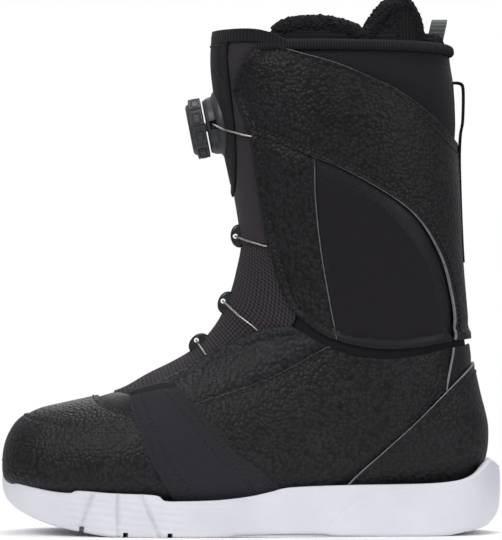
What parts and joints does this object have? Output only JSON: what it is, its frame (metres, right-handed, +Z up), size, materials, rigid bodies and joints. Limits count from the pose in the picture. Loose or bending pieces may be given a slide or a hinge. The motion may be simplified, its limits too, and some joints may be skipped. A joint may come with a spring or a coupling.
{
  "type": "snowboard boot",
  "caption": "Black snowboard boot with a white moulded sole, a stitched upper, a turning lace dial on a folding tongue and a padded liner",
  "frame": {"origin": "on the ground under the middle of the boot's length and width", "axes": "+Z up, the toe points to -X, the heel to +X, the outer side is -Y and the inner side +Y"},
  "size_m": [0.3, 0.1186, 0.32],
  "materials": {
    "outsole": "moulded white foam rubber",
    "leather": "grained synthetic leather",
    "collar": "smooth coated fabric",
    "strap": "woven backed overlay",
    "webbing": "woven webbing",
    "loop": "woven webbing",
    "knit": "spacer mesh knit",
    "fleece": "brushed fleece over foam",
    "board": "pressed fibre board",
    "dial": "satin moulded nylon",
    "guide": "glossy moulded nylon",
    "steel": "stranded stainless wire"
  },
  "bodies": {
    "lower": {"Outsole": "outsole", "Lasting_Board": "board", "Toe_Cap": "leather", "Vamp": "leather", "Throat_Panel": "leather", "Heel_Spine": "leather", "Heel_Cup": "leather", "Quarter_Lateral": "leather", "Quarter_Medial": "leather", "Lower_Eyestay_Lateral": "leather", "Lower_Eyestay_Medial": "leather", "Instep_Strap_Lateral": "strap", "Instep_Strap_Medial": "strap", "Toe_Puff": "board", "Heel_Counter": "board", "Tongue_Instep": "knit", "Lace_Guide_Lower": "guide", "Lace_Guide_Middle": "guide", "Liner_Foot": "fleece", "Footbed": "board"},
    "cuff": {"Cuff_Back": "leather", "Collar_Panel": "collar", "Cuff_Eyestay_Lateral": "leather", "Cuff_Eyestay_Medial": "leather", "Ankle_Frame_Lateral": "leather", "Ankle_Frame_Medial": "leather", "Ankle_Window_Lateral": "collar", "Ankle_Window_Medial": "collar", "Collar_Binding": "knit", "Rear_Pull_Loop": "webbing", "Tongue_Middle": "knit", "Lace_Guide_Upper": "guide", "Liner_Shaft": "fleece", "Liner_Loop": "loop", "Ankle_Gusset": "knit", "Tongue_Flex": "knit", "Liner_Flex": "fleece", "Steel_Lace": "steel"},
    "tongue": {"Tongue_Top": "knit", "Tongue_Binding": "knit", "Reel_Base": "dial", "Reel_Axle": "steel", "Liner_Tongue": "fleece", "Tongue_Gusset_Lateral": "knit", "Tongue_Gusset_Medial": "knit"},
    "dial_drive": {"Reel_Ratchet": "guide"},
    "dial": {"Dial_Cap": "dial", "Dial_Grip": "dial"},
    "spool": {"Reel_Spool": "guide"}
  },
  "joints": [
    {"name": "cuff_flex", "type": "hinge", "parent": "lower", "child": "cuff", "pos_m": [0.062, 0, 0.112], "axis": [0, -1, 0], "range_deg": [0, 10], "stiffness_Nm_per_rad": 40, "deforming": ["Ankle_Gusset", "Tongue_Flex", "Liner_Flex", "Steel_Lace"]},
    {"name": "tongue_open", "type": "hinge", "parent": "cuff", "child": "tongue", "pos_m": [-0.004, 0, 0.19], "axis": [0, -1, 0], "range_deg": [0, 22], "stiffness_Nm_per_rad": 3, "deforming": ["Tongue_Gusset_Lateral", "Tongue_Gusset_Medial", "Steel_Lace"]},
    {"name": "dial_turn", "type": "hinge", "parent": "tongue", "child": "dial_drive", "pos_m": [-0.02842, 0, 0.24459], "axis": [-0.9816, 0, -0.1908], "continuous": true},
    {"name": "dial_pull", "type": "slide", "parent": "dial_drive", "child": "dial", "axis": [-0.9816, 0, -0.1908], "range_m": [0, 0.0035]},
    {"name": "spool_turn", "type": "hinge", "parent": "tongue", "child": "spool", "pos_m": [-0.02842, 0, 0.24459], "axis": [-0.9816, 0, -0.1908], "continuous": true}
  ],
  "couplings": [
    {"joint": "spool_turn", "follows": "dial_turn", "ratio": 1}
  ]
}
